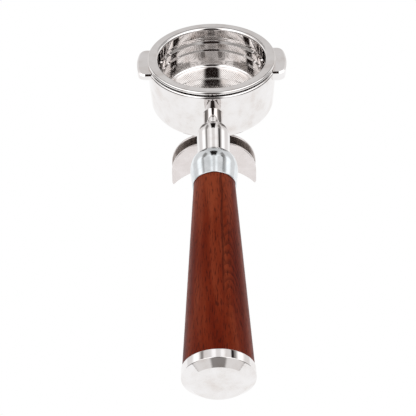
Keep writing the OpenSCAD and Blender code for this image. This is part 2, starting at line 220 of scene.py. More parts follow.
class BasketSizes(bpy.types.PropertyGroup):
    """Sizes of the pressed sheet basket."""
    sheet: length("Sheet", "Thickness of the steel sheet", 0.7)
    rim_t: length("Rim thickness", "Height of the rolled rim", 2)
    rim_fillet: length("Rim fillet", "Rounding where the wall turns out into the rim", 1.55)
    rim_hollow: length("Rim hollow", "Depth of the hollow under the rim", 0.6)
    hollow_round: length("Hollow rounding", "Rounding of the hollow under the rim", 0.4)
    lip_w: length("Lip width", "Width of the rolled edge at its foot", 1.584)
    lip_round: length("Lip rounding", "Rounding of the rolled edge's inner lip", 0.5)
    ridge_z: length("Ridge depth", "Depth at which the holding ridge starts", 6.2)
    ridge_h: length("Ridge height", "Height of the holding ridge", 3.8)
    ridge_out: length("Ridge reach", "How far the ridge stands out", 0.8)
    ridge_flat: length("Ridge flat", "Height that the ridge's two slopes leave out", 1)
    bend_round: length("Bend rounding", "Rounding of the ridge's and the step's bends", 0.9)
    draw: length("Wall draw", "How much the wall narrows between the ridge and the step", 0.25)
    step_z: length("Step depth", "Depth at which the wall steps in", 13.3)
    step_h: length("Step height", "Height of the sloping step", 1.1)
    step_w: length("Step width", "Width of the sloping step", 0.6)
    taper: length("Taper", "How much the floor's radius is less than the bore's", 2.35)
    floor_round: length("Floor rounding", "Rounding between the wall and the floor", 2)
    hole_d: length("Hole size", "Width of each hole in the floor", 0.43)
    hole_pitch: length("Hole pitch", "Distance between neighbouring holes", 1.2)
    plain_band: length("Plain band", "Width of the floor without holes inside its rounding", 1.4)
    disc_gap: length("Disc gap", "Distance between the floor's rounding and its perforated disc", 0.2)


class SpoutSizes(bpy.types.PropertyGroup):
    """Sizes of the double spout."""
    depth: length("Depth", "Width of the spout across its two side walls", 10.6)
    wall: length("Wall", "Thickness of each side wall", 1.7)
    floor: length("Floor", "Thickness of the channel's floor", 2)
    collar_h: length("Collar height", "Height of the collar above the arch", 8.5)
    collar_wall: length("Collar wall", "Wall of the collar round its thread", 1)
    thread_h: length("Thread depth", "Depth of the threaded hole", 8.3)
    flow_r: length("Flow radius", "Radius of the hole that lets the coffee through", 5)
    web: length("Web", "Thickness of the hub above the channel", 1.5)
    shoulder_r: length("Shoulder", "Radius of the shoulder where the arch turns down", 19.5)
    crown_h: length("Crown height", "Height of the side wall at its middle", 17.5)
    arch_h: length("Arch height", "Height from the crown down to the foot of the arch", 29.5)
    tip_cut: length("Tip lean", "How far each pouring tip leans in at its foot", 1.2)
    tip_rise: length("Tip rise", "Height over which each tip leans in", 2.5)
    hub_lift: length("Hub lift", "Gap between the hub's foot and the channel's floor", 1)
    edge: length("Edge", "Rounding of the side walls' edges", 0.35)
    hub_edge: length("Hub edge", "Rounding of the hub's top edges", 0.3)
    rib_round: length("Rib rounding", "Rounding of the ribs' shoulders", 1)
    rib_root: length("Rib root", "How deep the ribs' tops reach into the hub", 0.5)


class FittingSizes(bpy.types.PropertyGroup):
    """Sizes of the threaded nipple."""
    thread_r: length("Thread radius", "Outside radius of the nipple's threads", 8.3)
    thread_pitch: length("Thread pitch", "Distance between two turns of the thread", 1.337)
    thread_depth: length("Thread depth", "Depth of the thread", 0.6)
    thread_sink: length("Thread sink", "How deep the thread's foot lies in the nipple's core", 0.1)
    hex_h: length("Hexagon height", "Height of the hexagon", 8)
    edge: length("Edge", "Rounding of the nipple's edges", 0.3)


class HandleSizes(bpy.types.PropertyGroup):
    """Sizes of the collar, its washer, the wood and the end cap."""
    edge: length("Edge", "Rounding of the turned edges", 0.25)
    crisp: length("Crisp edge", "Rounding of the end cap's polished edges", 0.4)
    dome_len: length("Dome length", "Length of the collar's domed front", 8.2)
    tenon_len: length("Tenon length", "Length of the wood's tenon inside the collar", 6)
    tenon_r: length("Tenon radius", "Radius of the wood's tenon", 9.5)
    bush_r: length("Bush radius", "Outside radius of the brass bush", 6.6)
    rod_r: length("Rod hole radius", "Radius of the hole for the rod in the metal pieces", 5.05)
    wood_bore_r: length("Wood bore radius", "Radius of the hole for the rod in the wood", 5.35)
    socket_r: length("Socket radius", "Radius of the counterbore in the end of the wood", 11.5)
    spigot_len: length("Spigot length", "Length of the end cap's spigot", 9)
    rod_gap: length("Rod gap", "Gap between the rod and the end of its hole in the cap", 1)
    cap_chamfer_h: length("Chamfer height", "Height of the end cap's chamfer", 2.9)
    cap_chamfer_w: length("Chamfer width", "Width of the end cap's chamfer", 4)


class WoodFigure(bpy.types.PropertyGroup):
    """Sizes of the wood's figure. Places are along the handle from the cup's centre line, or across it."""
    fade_from: length("Paler end", "Place where the wood is palest", 90)
    fade_to: length("Darker end", "Place where the wood is darkest", 200)
    line_gap: length("Growth line", "Distance between two growth lines", 1)
    line_drift: length("Growth drift", "How far the growth lines wander", 5)
    arch_side: length("Arch middle", "How far right of the top the growth lines have their arch", 14)
    arch_place: length("Arch place", "Place where the growth lines are darkest", 142)
    arch_near: length("Arch dark", "Distance from that place over which they stay dark", 8)
    arch_far: length("Arch faint", "Distance from that place at which they are faint", 45)
    right_from: length("Lines start", "How far right of the top the growth lines start", 2.5)
    right_to: length("Lines full", "How far right of the top they have their full strength", 5)
    seam_side: length("Dark line", "How far right of the top the wavy dark line lies", 1.7)
    seam_wander: length("Dark line's wander", "How far the wavy dark line wanders", 3)
    seam_core: length("Dark line's core", "Distance from the dark line's middle where it is darkest", 0.1)
    seam_edge: length("Dark line's edge", "Distance from the dark line's middle where it ends", 0.9)
    seam_from: length("Dark line fades", "Place where the dark line starts to fade", 145)
    seam_to: length("Dark line faint", "Place where the dark line is faint", 175)
    pore_depth: length("Pore depth", "Depth of the pores", 0.04)
    arch_bend: bpy.props.FloatProperty(name="Arch bend", default=30,
                                       description="How fast the growth lines bend down beside their arch")
    arch_lean: bpy.props.FloatProperty(name="Arch lean", default=0.1,
                                       description="Slope of the growth lines along the handle")


class Finishes(bpy.types.PropertyGroup):
    """Colours of the pieces."""
    chrome: paint("Chrome", "Chrome plate on the cup and the fittings", "#F1EFEF")
    chrome_dull: paint("Chrome haze", "Chrome plate where it's a little duller", "#ECE9E8")
    # The third chrome tone gives faint, warmer and darker patches that noise spreads at random.
    chrome_warm_patch: paint("Chrome warm patch", "Chrome plate in its faint warmer patches", "#E2DCD9")
    steel: paint("Stainless", "Polished stainless sheet of the basket", "#F1EFEE")
    steel_dull: paint("Stainless haze", "Stainless sheet where the press has drawn it", "#E9E6E5")
    steel_worn: paint("Stainless stain", "Stainless sheet where coffee has stained it", "#DAD3CF")
    # The rim land's two tones are dark painted shade of the gap under the basket's rim.
    seat: paint("Rim land", "Land under the basket's rim, darkened as painted shade", "#3B3431")
    seat_dark: paint("Rim land, dark", "Deepest painted shade on the rim's land", "#1A1514")
    sieve: paint("Sieve", "Satin floor of the basket", "#DAD7D5")
    sieve_dull: paint("Sieve, dull", "Floor of the basket where it's duller", "#CFCBC9")
    spout: paint("Spout", "Polished outside of the spout", "#E6E0DF")
    spout_dull: paint("Spout haze", "Outside of the spout where it's duller", "#DDD6D4")
    channel: paint("Channel", "As-cast surface inside the spout's channel", "#A89F9A")
    channel_dark: paint("Channel, dark", "Stained streaks inside the channel", "#7A706C")
    channel_light: paint("Channel, light", "Cleaner streaks inside the channel", "#C5BEBA")
    aluminium: paint("Aluminium", "Polished aluminium of the collar", "#E9EDF0")
    aluminium_dull: paint("Aluminium haze", "Aluminium where it's a little duller", "#D5DADD")
    wood_light: paint("Wood, light", "Pale bands of the wood", "#873B23")
    wood_mid: paint("Wood, middle", "Ground colour of the wood", "#712611")
    wood_deep: paint("Wood, deep", "Deep red bands of the wood", "#611B0A")
    wood_dark: paint("Wood, dark", "Dark grain lines and pores of the wood", "#34100A")
    ptfe: paint("Sealing plastic", "White seals of the outlet", "#E9E6DC")
    ptfe_dull: paint("Sealing plastic, stained", "Seals where they're stained", "#D6D0C0")
    wire: paint("Spring wire", "Drawn spring wire", "#B4B4B6")
    zinc: paint("Zinc plate", "Plain zinc-plated steel inside the handle", "#BFC2C6")
    zinc_dull: paint("Zinc plate, dull", "Zinc plate where it's duller", "#94979B")
    brass: paint("Brass", "Turned brass bush", "#CDA960")
    brass_dull: paint("Brass, dull", "Brass where it has dulled", "#A98343")


class StudioSettings(bpy.types.PropertyGroup):
    """Floor, light and camera."""
    floor_size: length("Floor size", "Side of the floor", 460)
    camera_distance: length("Camera distance", "From the camera to the centre of the rim", 783.5)
    camera_height: turn("Camera elevation", "Height of the camera above the rim's plane", 32.725)
    camera_side: turn("Camera azimuth", "How far round the camera stands from the handle's side", -0.043)
    camera_roll: turn("Camera roll", "Turn of the camera about its own axis", -1.464)
    camera_aim: bpy.props.FloatVectorProperty(
        name="Camera aim", description="Point that the camera looks at", subtype="TRANSLATION",
        unit="LENGTH", size=3, default=(-3.78 * MM, -48.14 * MM, -66.89 * MM))
    lens: bpy.props.FloatProperty(name="Lens", description="Focal length, in millimetres on a 36 mm sensor",
                                  default=123.75, unit="CAMERA")
    tent: paint("Tent", "Light that comes from the studio tent", "#E8E6E5")


GROUPS = {"cup": CupSizes, "basket": BasketSizes, "spout": SpoutSizes, "fittings": FittingSizes,
          "handle": HandleSizes, "wood": WoodFigure, "finishes": Finishes, "studio": StudioSettings}


def settings(name):
    """One group of properties of the scene."""
    return getattr(bpy.context.scene, "portafilter_" + name)


# Section and mesh tools

def only(kind, result, key="geom"):
    """The items of one kind among those that a bmesh operator gives back."""
    return [item for item in result[key] if isinstance(item, kind)]


def new_verts(bm, kept):
    """The vertices that weren't there before."""
    return [vert for vert in bm.verts if vert not in kept]


def section(*corners, closed=False, steps=8):
    """Points of an outline whose corners are (across, up) or (across, up, rounding)."""
    points = []
    for index, corner in enumerate(corners):
        here = Vector(corner[:2])
        rounding = corner[2] if len(corner) > 2 else 0
        at_end = not closed and index in (0, len(corners) - 1)
        if not rounding or at_end:
            points.append(here)
            continue
        to_last = (Vector(corners[index - 1][:2]) - here).normalized()
        to_next = (Vector(corners[(index + 1) % len(corners)][:2]) - here).normalized()
        half = to_last.angle(to_next) / 2
        centre = here + (to_last + to_next).normalized() * (rounding / sin(half))
        arm = here + to_last * (rounding / tan(half)) - centre
        sweep = pi - 2 * half
        if to_last.x * to_next.y - to_last.y * to_next.x > 0:
            sweep = -sweep
        for step in range(steps + 1):
            angle = sweep * step / steps
            points.append(centre + Vector((arm.x * cos(angle) - arm.y * sin(angle),
                                           arm.x * sin(angle) + arm.y * cos(angle))))
    return points


def steadied(points, closed):
    """The same outline with a point close to each end of its long stretches, which keeps flats flat."""
    result = []
    for index, point in enumerate(points):
        result.append(point)
        if index == len(points) - 1 and not closed:
            break
        run = points[(index + 1) % len(points)] - point
        if run.length > 4 * STEADY:
            result.append(point + run.normalized() * STEADY)
            result.append(point + run - run.normalized() * STEADY)
    return result


def lathe(bm, points, place=IDENTITY, closed=False, steps=160):
    """Spins an outline of (radius, height) points a full turn round Z and puts it in its place."""
    outline = steadied(points, closed)
    kept = set(bm.verts)
    verts = [bm.verts.new((point.x, 0, point.y)) for point in outline]
    pairs = list(zip(verts, verts[1:]))
    if closed:
        pairs.append((verts[-1], verts[0]))
    edges = [bm.edges.new(pair) for pair in pairs]
    bmesh.ops.spin(bm, geom=verts + edges, cent=(0, 0, 0), axis=(0, 0, 1), dvec=(0, 0, 0),
                   angle=2 * pi, steps=steps, use_merge=True, use_normal_flip=False, use_duplicate=False)
    turned = new_verts(bm, kept)
    bmesh.ops.transform(bm, matrix=place, space=IDENTITY, verts=turned)
    return turned


def block(bm, outline, depth, place):
    """A flat outline of (x, y) points, made a solid from height 0 to depth, in its place."""
    verts = [bm.verts.new((point[0], point[1], 0)) for point in outline]
    face = bm.faces.new(verts)
    sides = bmesh.ops.extrude_face_region(bm, geom=[face])
    lifted = only(BMVert, sides)
    bmesh.ops.translate(bm, vec=(0, 0, depth), verts=lifted)
    bmesh.ops.transform(bm, matrix=place, space=IDENTITY, verts=verts + lifted)
    return verts + lifted


def added_since(bm, kept):
    """Every vertex, edge and face that isn't made of the kept vertices."""
    return (new_verts(bm, kept)
            + [edge for edge in bm.edges if edge.verts[0] not in kept]
            + [face for face in bm.faces if face.verts[0] not in kept])


def bevel_sharp(bm, size, among=None, segments=3):
    """Rounds the sharp edges, of the whole mesh or among some vertices."""
    inside = set(among) if among else set(bm.verts)
    sharp = [edge for edge in bm.edges if edge.is_manifold and edge.calc_face_angle(0) > ROUNDED
             and edge.verts[0] in inside and edge.verts[1] in inside]
    bmesh.ops.bevel(bm, geom=sharp, offset=size, offset_type="OFFSET", affect="EDGES",
                    segments=segments, profile=0.5, material=-1, clamp_overlap=True)


def arc(centre_x, centre_y, radius, start, end, steps):
    """Points of an arc between two angles."""
    angles = [start + (end - start) * step / steps for step in range(steps + 1)]
    return [Vector((centre_x + radius * cos(angle), centre_y + radius * sin(angle))) for angle in angles]


def quarter_oval(narrow, wide, start, end, steps=28):
    """Points of a quarter oval that swells from a narrow radius at its start to a wide one at its end."""
    angles = [pi / 2 * step / steps for step in range(steps + 1)]
    return [Vector((narrow + (wide - narrow) * sin(angle), start + (end - start) * (1 - cos(angle))))
            for angle in angles]


def close_up(bm):
    """Joins doubled points and turns every face outwards."""
    bmesh.ops.remove_doubles(bm, verts=bm.verts, dist=WELD)
    bmesh.ops.recalc_face_normals(bm, faces=bm.faces)


def make_piece(name, bm, body, finishes, nodes):
    """Makes a named piece from a bmesh, ties it to its body and hides the CAD nodes that it replaces."""
    mesh = bpy.data.meshes.new(name)
    bm.to_mesh(mesh)
    bm.free()
    mesh.shade_smooth()
    mesh.set_sharp_from_angle(angle=SHARP)
    for finish in finishes:
        mesh.materials.append(material(finish))
    piece = bpy.data.objects.new(name, mesh)
    bpy.context.scene.collection.objects.link(piece)
    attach(piece, body)
    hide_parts(*nodes)


# Material tools

def node(tree, kind, choices=None, inputs=None, links=None, stops=None):
    """Adds a node: its settings, its input values, the sockets it takes and, on a ramp, its stops."""
    added = tree.nodes.new(kind)
    for key, value in (choices or {}).items():
        setattr(added, key, value)
    for key, value in (inputs or {}).items():
        added.inputs[key].default_value = value
    for key, socket in (links or {}).items():
        tree.links.new(socket, added.inputs[key])
    if stops:
        elements = added.color_ramp.elements
        elements.remove(elements[-1])
        elements[0].position, elements[0].color = stops[0]
        for position, tone in stops[1:]:
            elements.new(position).color = tone
    return added


def blank(name):
    """A material with nothing but its output, and its object coordinates."""
    made = bpy.data.materials.new(name)
    made.use_nodes = True
    tree = made.node_tree
    tree.nodes.clear()
    output = node(tree, "ShaderNodeOutputMaterial")
    place = node(tree, "ShaderNodeTexCoord").outputs["Object"]
    return made, tree, output, place


def along_handle(tree, place):
    """Coordinates whose Z runs along the handle from the cup's centre line, with Y upwards."""
    return node(tree, "ShaderNodeMapping", {"vector_type": "TEXTURE"},
                {"Location": HANDLE.translation, "Rotation": HANDLE.to_euler()},
                {"Vector": place}).outputs["Vector"]


# Each metal: its tones from the haziest spots to the cleanest, its lowest and highest roughness, and
# how it differs from an evenly buffed piece.
METALS = {
    # Chrome on forged and buffed brass: a near perfect mirror with a few faint, warm patches.
    "chrome_plate": {
        "tones": ("chrome_warm_patch", "chrome_dull", "chrome"), "low": 0.01, "high": 0.05,
        "ripple": 0.002 * MM},
    # Brass under the basket's rim: dull, and darkened with painted shade of the gap under the rim.
    "coffee_stained_brass": {
        "tones": ("seat_dark", "seat"), "low": 0.45, "high": 0.6,
        "haze_size": 2 * MM},
    # Chrome on a turned cap: a mirror that keeps the rings of the lathe under its plate.
    "chromed_turned_steel": {
        "tones": ("chrome_warm_patch", "chrome_dull", "chrome"), "low": 0.03, "high": 0.07,
        "groove_gap": 0.9 * MM, "groove_depth": 0.002 * MM, "on_end": True},
    # Deep-drawn and polished stainless steel: a mirror with a little more haze than chrome.
    "stainless_sheet": {
        "tones": ("steel_worn", "steel_dull", "steel"), "low": 0.0, "high": 0.03,
        "ripple": 0.0002 * MM, "ripple_size": 25 * MM},
    # Punched stainless floor of the basket: duller than the wall, because it isn't buffed.
    "perforated_sheet": {
        "tones": ("sieve_dull", "sieve"), "low": 0.07, "high": 0.13,
        "haze_size": 5 * MM},
    # Barrel-polished casting: softer and a little warmer reflections than plate.
    "polished_casting": {
        "tones": ("spout_dull", "spout"), "low": 0.09, "high": 0.18,
        "ripple": 0.02 * MM, "haze_size": 6 * MM, "ripple_size": 7 * MM},
    # As-cast inside of the channel: dark and warm, with the streaks that the coffee leaves.
    "stained_casting": {
        "tones": ("channel_dark", "channel", "channel_light"), "low": 0.24, "high": 0.42,
        "ripple": 0.12 * MM, "haze_size": 1.6 * MM, "ripple_size": 2.5 * MM, "stretch": (1, 1, 0.15)},
    # Turned and polished aluminium: cool, with the faint rings of the lathe.
    "polished_aluminium": {
        "tones": ("aluminium_dull", "aluminium"), "low": 0.07, "high": 0.14,
        "haze_size": 5 * MM, "groove_gap": 0.7 * MM, "groove_depth": 0.002 * MM},
    # Drawn spring wire: dull, bright steel.
    "drawn_wire": {
        "tones": ("zinc_dull", "wire"), "low": 0.2, "high": 0.32,
        "haze_size": 1 * MM},
    # Bright zinc plate on turned steel: cool and satin.
    "zinc_plate": {
        "tones": ("zinc_dull", "zinc"), "low": 0.25, "high": 0.4,
        "haze_size": 3 * MM, "groove_gap": 0.8 * MM, "groove_depth": 0.01 * MM},
    # Turned brass: yellow, with the rings of the lathe.
    "turned_brass": {
        "tones": ("brass_dull", "brass"), "low": 0.2, "high": 0.32,
        "haze_size": 3 * MM, "groove_gap": 0.8 * MM, "groove_depth": 0.01 * MM},
}


def metal(name, tones, low, high, ripple=0.004 * MM, haze_size=9 * MM, ripple_size=14 * MM,
          stretch=(1, 1, 1), groove_gap=0, groove_depth=0, on_end=False):
    """A metal: a mirror with faint haze, and the slow ripple that forming and buffing leave.

    A lathe leaves grooves round the handle's axis, which are rings on a flat end. They are about 0.1 mm
    apart on the real pieces and are drawn at 0.7 to 0.9 mm, so that they show.
    """
    made, tree, output, place = blank(name)
    pulled = node(tree, "ShaderNodeMapping", inputs={"Scale": stretch}, links={"Vector": place})
    haze = node(tree, "ShaderNodeTexNoise", inputs={"Scale": 1 / haze_size, "Detail": 4, "Roughness": 0.6},
                links={"Vector": pulled.outputs["Vector"]}).outputs["Fac"]
    gap = (CLEAN_TONE - HAZIEST) / (len(tones) - 1)
    stops = [(HAZIEST + gap * index, getattr(settings("finishes"), tone))
             for index, tone in enumerate(tones)]
    tone = node(tree, "ShaderNodeValToRGB", links={"Fac": haze}, stops=stops)
    rough = node(tree, "ShaderNodeMapRange", inputs={
        "From Min": HAZIEST, "From Max": CLEANEST, "To Min": high, "To Max": low}, links={"Value": haze})
    swell = node(tree, "ShaderNodeTexNoise", inputs={"Scale": 1 / ripple_size, "Detail": 2},
                 links={"Vector": place})
    bump = node(tree, "ShaderNodeBump", inputs={"Distance": ripple}, links={"Height": swell.outputs["Fac"]})
    if groove_gap:
        ways = {"wave_type": "RINGS", "rings_direction": "Z"} if on_end else {"bands_direction": "Z"}
        grooves = node(tree, "ShaderNodeTexWave", ways, {
            "Scale": WAVE_PERIOD / groove_gap, "Distortion": 1.5, "Detail": 2, "Detail Scale": 2},
                       {"Vector": along_handle(tree, place)})
        bump = node(tree, "ShaderNodeBump", inputs={"Distance": groove_depth},
                    links={"Height": grooves.outputs["Fac"], "Normal": bump.outputs["Normal"]})
    shader = node(tree, "ShaderNodeBsdfPrincipled", inputs={"Metallic": 1},
                  links={"Base Color": tone.outputs["Color"], "Roughness": rough.outputs["Result"],
                         "Normal": bump.outputs["Normal"]})
    tree.links.new(shader.outputs["BSDF"], output.inputs["Surface"])
    return made


def oiled_rosewood():
    """Turned and oiled rosewood: fine pores, a wavy dark line, and arched growth lines to its right.

    The pores are about 0.15 mm wide on the real one and are drawn at 0.35 mm, so that they show.
    """
    paints = settings("finishes")
    figure = settings("wood")
    made, tree, output, place = blank("oiled_rosewood")
    wood = along_handle(tree, place)
    parts = node(tree, "ShaderNodeSeparateXYZ", links={"Vector": wood}).outputs
    # noises, with their spots per metre across, up and along the grain
    noises = {}
    for name, scale, detail in (("drift", (70, 70, 30), 2), ("broad", (150, 150, 14), 3),
                                ("bend", (0, 0, 35), 1), ("pores", (1800, 1800, 220), 1)):
        spot = node(tree, "ShaderNodeMapping", inputs={"Scale": scale}, links={"Vector": wood})
        noises[name] = node(tree, "ShaderNodeTexNoise", inputs={"Scale": 1, "Detail": detail},
                            links={"Vector": spot.outputs["Vector"]}).outputs["Fac"]
    # ground colour, a little paler towards the collar
    fade = node(tree, "ShaderNodeMapRange", inputs={
        "From Min": figure.fade_from, "From Max": figure.fade_to, "To Min": 0.13, "To Max": -0.1},
                links={"Value": parts["Z"]})
    level = node(tree, "ShaderNodeMath", {"operation": "ADD"},
                 links={0: noises["broad"], 1: fade.outputs["Result"]}).outputs[0]
    ground = node(tree, "ShaderNodeValToRGB", links={"Fac": level}, stops=[
        (0.3, paints.wood_deep), (0.48, paints.wood_mid), (0.7, paints.wood_light)]).outputs["Color"]
    # growth lines: arches whose middle lies right of the top
    aside = node(tree, "ShaderNodeMath", {"operation": "SUBTRACT"}, {1: figure.arch_side},
                 {0: parts["X"]})
    square = node(tree, "ShaderNodeMath", {"operation": "POWER"}, {1: 2}, {0: aside.outputs[0]})
    rise = node(tree, "ShaderNodeMath", {"operation": "MULTIPLY_ADD"}, {1: -figure.arch_bend},
                {0: square.outputs[0], 2: parts["Y"]})
    lean = node(tree, "ShaderNodeMath", {"operation": "MULTIPLY_ADD"}, {1: figure.arch_lean},
                {0: parts["Z"], 2: rise.outputs[0]})
    layer = node(tree, "ShaderNodeMath", {"operation": "MULTIPLY_ADD"}, {1: figure.line_drift},
                 {0: noises["drift"], 2: lean.outputs[0]})
    turns = node(tree, "ShaderNodeMath", {"operation": "DIVIDE"}, {1: figure.line_gap},
                 {0: layer.outputs[0]})
    ring = node(tree, "ShaderNodeMath", {"operation": "FRACT"}, links={0: turns.outputs[0]}).outputs[0]
    line = node(tree, "ShaderNodeMapRange", {"interpolation_type": "SMOOTHSTEP"},
                {"From Min": 0.3, "From Max": 0.95, "To Min": 0, "To Max": 0.5}, {"Value": ring})
    right = node(tree, "ShaderNodeMapRange", {"interpolation_type": "SMOOTHSTEP"},
                 {"From Min": figure.right_from, "From Max": figure.right_to, "To Min": 0.12, "To Max": 1},
                 {"Value": parts["X"]})
    middle = node(tree, "ShaderNodeMath", {"operation": "SUBTRACT"}, {1: figure.arch_place},
                  {0: parts["Z"]})
    distance = node(tree, "ShaderNodeMath", {"operation": "ABSOLUTE"}, links={0: middle.outputs[0]})
    near = node(tree, "ShaderNodeMapRange", {"interpolation_type": "SMOOTHSTEP"},
                {"From Min": figure.arch_near, "From Max": figure.arch_far, "To Min": 1, "To Max": 0.2},
                {"Value": distance.outputs[0]})
    where = node(tree, "ShaderNodeMath", {"operation": "MULTIPLY"},
                 links={0: right.outputs["Result"], 1: near.outputs["Result"]})
    amount = node(tree, "ShaderNodeMath", {"operation": "MULTIPLY"},
                  links={0: where.outputs[0], 1: line.outputs["Result"]})
    arched = node(tree, "ShaderNodeMix", {"data_type": "RGBA"}, {7: paints.wood_dark},
                  {0: amount.outputs[0], 6: ground})
    # the wavy dark line, which fades out towards the cap
    wander = node(tree, "ShaderNodeMath", {"operation": "MULTIPLY_ADD"}, {1: -figure.seam_wander},
                  {0: noises["bend"], 2: parts["X"]})
    across = node(tree, "ShaderNodeMath", {"operation": "SUBTRACT"}, {1: figure.seam_side},
                  {0: wander.outputs[0]})
    beside = node(tree, "ShaderNodeMath", {"operation": "ABSOLUTE"}, links={0: across.outputs[0]})
    seam = node(tree, "ShaderNodeMapRange", {"interpolation_type": "SMOOTHSTEP"},
                {"From Min": figure.seam_core, "From Max": figure.seam_edge, "To Min": 0.6, "To Max": 0},
                {"Value": beside.outputs[0]})
    ends = node(tree, "ShaderNodeMapRange", {"interpolation_type": "SMOOTHSTEP"},
                {"From Min": figure.seam_from, "From Max": figure.seam_to, "To Min": 1, "To Max": 0.1},
                {"Value": parts["Z"]})
    strength = node(tree, "ShaderNodeMath", {"operation": "MULTIPLY"},
                    links={0: seam.outputs["Result"], 1: ends.outputs["Result"]})
    lined = node(tree, "ShaderNodeMix", {"data_type": "RGBA"}, {7: paints.wood_dark},
                 {0: strength.outputs[0], 6: arched.outputs[2]})
    # open pores, which are darker, rougher and sunk
    open_pore = node(tree, "ShaderNodeMapRange", inputs={
        "From Min": 0.54, "From Max": 0.68, "To Min": 0, "To Max": 0.65}, links={"Value": noises["pores"]})
    tone = node(tree, "ShaderNodeMix", {"data_type": "RGBA"}, {7: paints.wood_dark},
                {0: open_pore.outputs["Result"], 6: lined.outputs[2]})
    rough = node(tree, "ShaderNodeMapRange", inputs={
        "From Min": HAZIEST, "From Max": CLEANEST, "To Min": 0.3, "To Max": 0.42},
                 links={"Value": noises["pores"]})
    bump = node(tree, "ShaderNodeBump", {"invert": True}, {"Distance": figure.pore_depth, "Strength": 0.5},
                {"Height": open_pore.outputs["Result"]})
    shader = node(tree, "ShaderNodeBsdfPrincipled", inputs={"Specular IOR Level": 0.04},
                  links={"Base Color": tone.outputs[2], "Roughness": rough.outputs["Result"],
                         "Normal": bump.outputs["Normal"]})
    tree.links.new(shader.outputs["BSDF"], output.inputs["Surface"])
    return made


def sealing_plastic():
    """Turned white sealing plastic: waxy and matt, a little stained."""
    paints = settings("finishes")
    made, tree, output, place = blank("sealing_plastic")
    grain = node(tree, "ShaderNodeTexNoise", inputs={"Scale": 1 / (2 * MM), "Detail": 4},
                 links={"Vector": place}).outputs["Fac"]
    tone = node(tree, "ShaderNodeValToRGB", links={"Fac": grain},
                stops=[(0.3, paints.ptfe_dull), (0.7, paints.ptfe)])
    rough = node(tree, "ShaderNodeMapRange", inputs={"To Min": 0.42, "To Max": 0.6}, links={"Value": grain})
    bump = node(tree, "ShaderNodeBump", inputs={"Distance": 0.02 * MM}, links={"Height": grain})
    shader = node(tree, "ShaderNodeBsdfPrincipled", links={
        "Base Color": tone.outputs["Color"], "Roughness": rough.outputs["Result"],
        "Normal": bump.outputs["Normal"]})
    tree.links.new(shader.outputs["BSDF"], output.inputs["Surface"])
    return made


OTHERS = {"oiled_rosewood": oiled_rosewood, "sealing_plastic": sealing_plastic}
MADE = {}  # materials made so far


def material(name):
    """The material of this name, made once and then shared."""
    if name not in MADE:
        MADE[name] = OTHERS[name]() if name in OTHERS else metal(name, **METALS[name])
    return MADE[name]


# Pieces

def cup_shell(bm, sizes, top, outlet):
    """The cup with its bore, groove, chamber and outlet, as one turned shell."""
    base = outlet + sizes.outlet_h
    chamber = base + sizes.floor
    wall_top = cup_radius(top - sizes.top_edge)
    wall_low = cup_radius(base + sizes.round)
    draft = (wall_top - wall_low) / (top - sizes.top_edge - base - sizes.round)
    foot = wall_low - draft * sizes.round
    low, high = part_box("basket_spring")
    middle = (low.z + high.z) / 2
    groove_top = middle + sizes.groove_h / 2
    groove_low = middle - sizes.groove_h / 2
    groove_r = sizes.bore_r + sizes.groove_depth
    lathe(bm, section(
        (sizes.bore_r, top, sizes.edge),
        (sizes.seat_r, top),
        (sizes.seat_r, top - sizes.relief),
        (wall_top, top - sizes.relief, sizes.top_edge),
        (foot, base, sizes.round),
        (sizes.outlet_r, base, sizes.outlet_fillet),
        (sizes.outlet_r, outlet, sizes.edge),
        (sizes.thread_r, outlet, sizes.edge),
        (sizes.thread_r, chamber - sizes.fall, sizes.edge),
        (sizes.bore_r, chamber, sizes.inner_round),
        (sizes.bore_r, groove_low),
        (groove_r, groove_low),
        (groove_r, groove_top),
        (sizes.bore_r, groove_top),
        closed=True, steps=12), closed=True, steps=240)
    return wall_top, draft


def lug(bm, sizes, facing):
    """One lug, drawn on the +X side with its ramp under the +Y end, then turned to its side."""
    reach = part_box("body")[1].x
    half = sizes.lug_len / 2
    low = -sizes.lug_drop - sizes.lug_t
    corner_y = half - sizes.lug_round
    corner_x = sqrt((reach - sizes.lug_round) ** 2 - corner_y ** 2)
    swing = atan2(corner_y, corner_x)
    outline = [Vector((sizes.lug_root, -half))]
    outline += arc(corner_x, -corner_y, sizes.lug_round, -pi / 2, -swing, 10)
    outline += arc(0, 0, reach, -swing, swing, 16)[1:-1]
    outline += arc(corner_x, corner_y, sizes.lug_round, swing, pi / 2, 10)
    outline += [Vector((sizes.lug_root, half))]
    kept = set(bm.verts)
    block(bm, outline, sizes.lug_t, Matrix.Translation((0, 0, low)))
    ramp_start = half - sizes.ramp_len
    bmesh.ops.bisect_plane(bm, geom=added_since(bm, kept), dist=ON_PLANE,
                           plane_co=(0, ramp_start, 0), plane_no=(0, 1, 0))
    for vert in new_verts(bm, kept):
        if vert.co.y > ramp_start and vert.co.z < low + sizes.edge:
            vert.co.z += sizes.ramp_h * (vert.co.y - ramp_start) / sizes.ramp_len
    bevel_sharp(bm, sizes.lug_edge, new_verts(bm, kept), segments=1)
    bmesh.ops.rotate(bm, cent=(0, 0, 0), matrix=Matrix.Rotation(facing, 3, "Z"),
                     verts=new_verts(bm, kept))


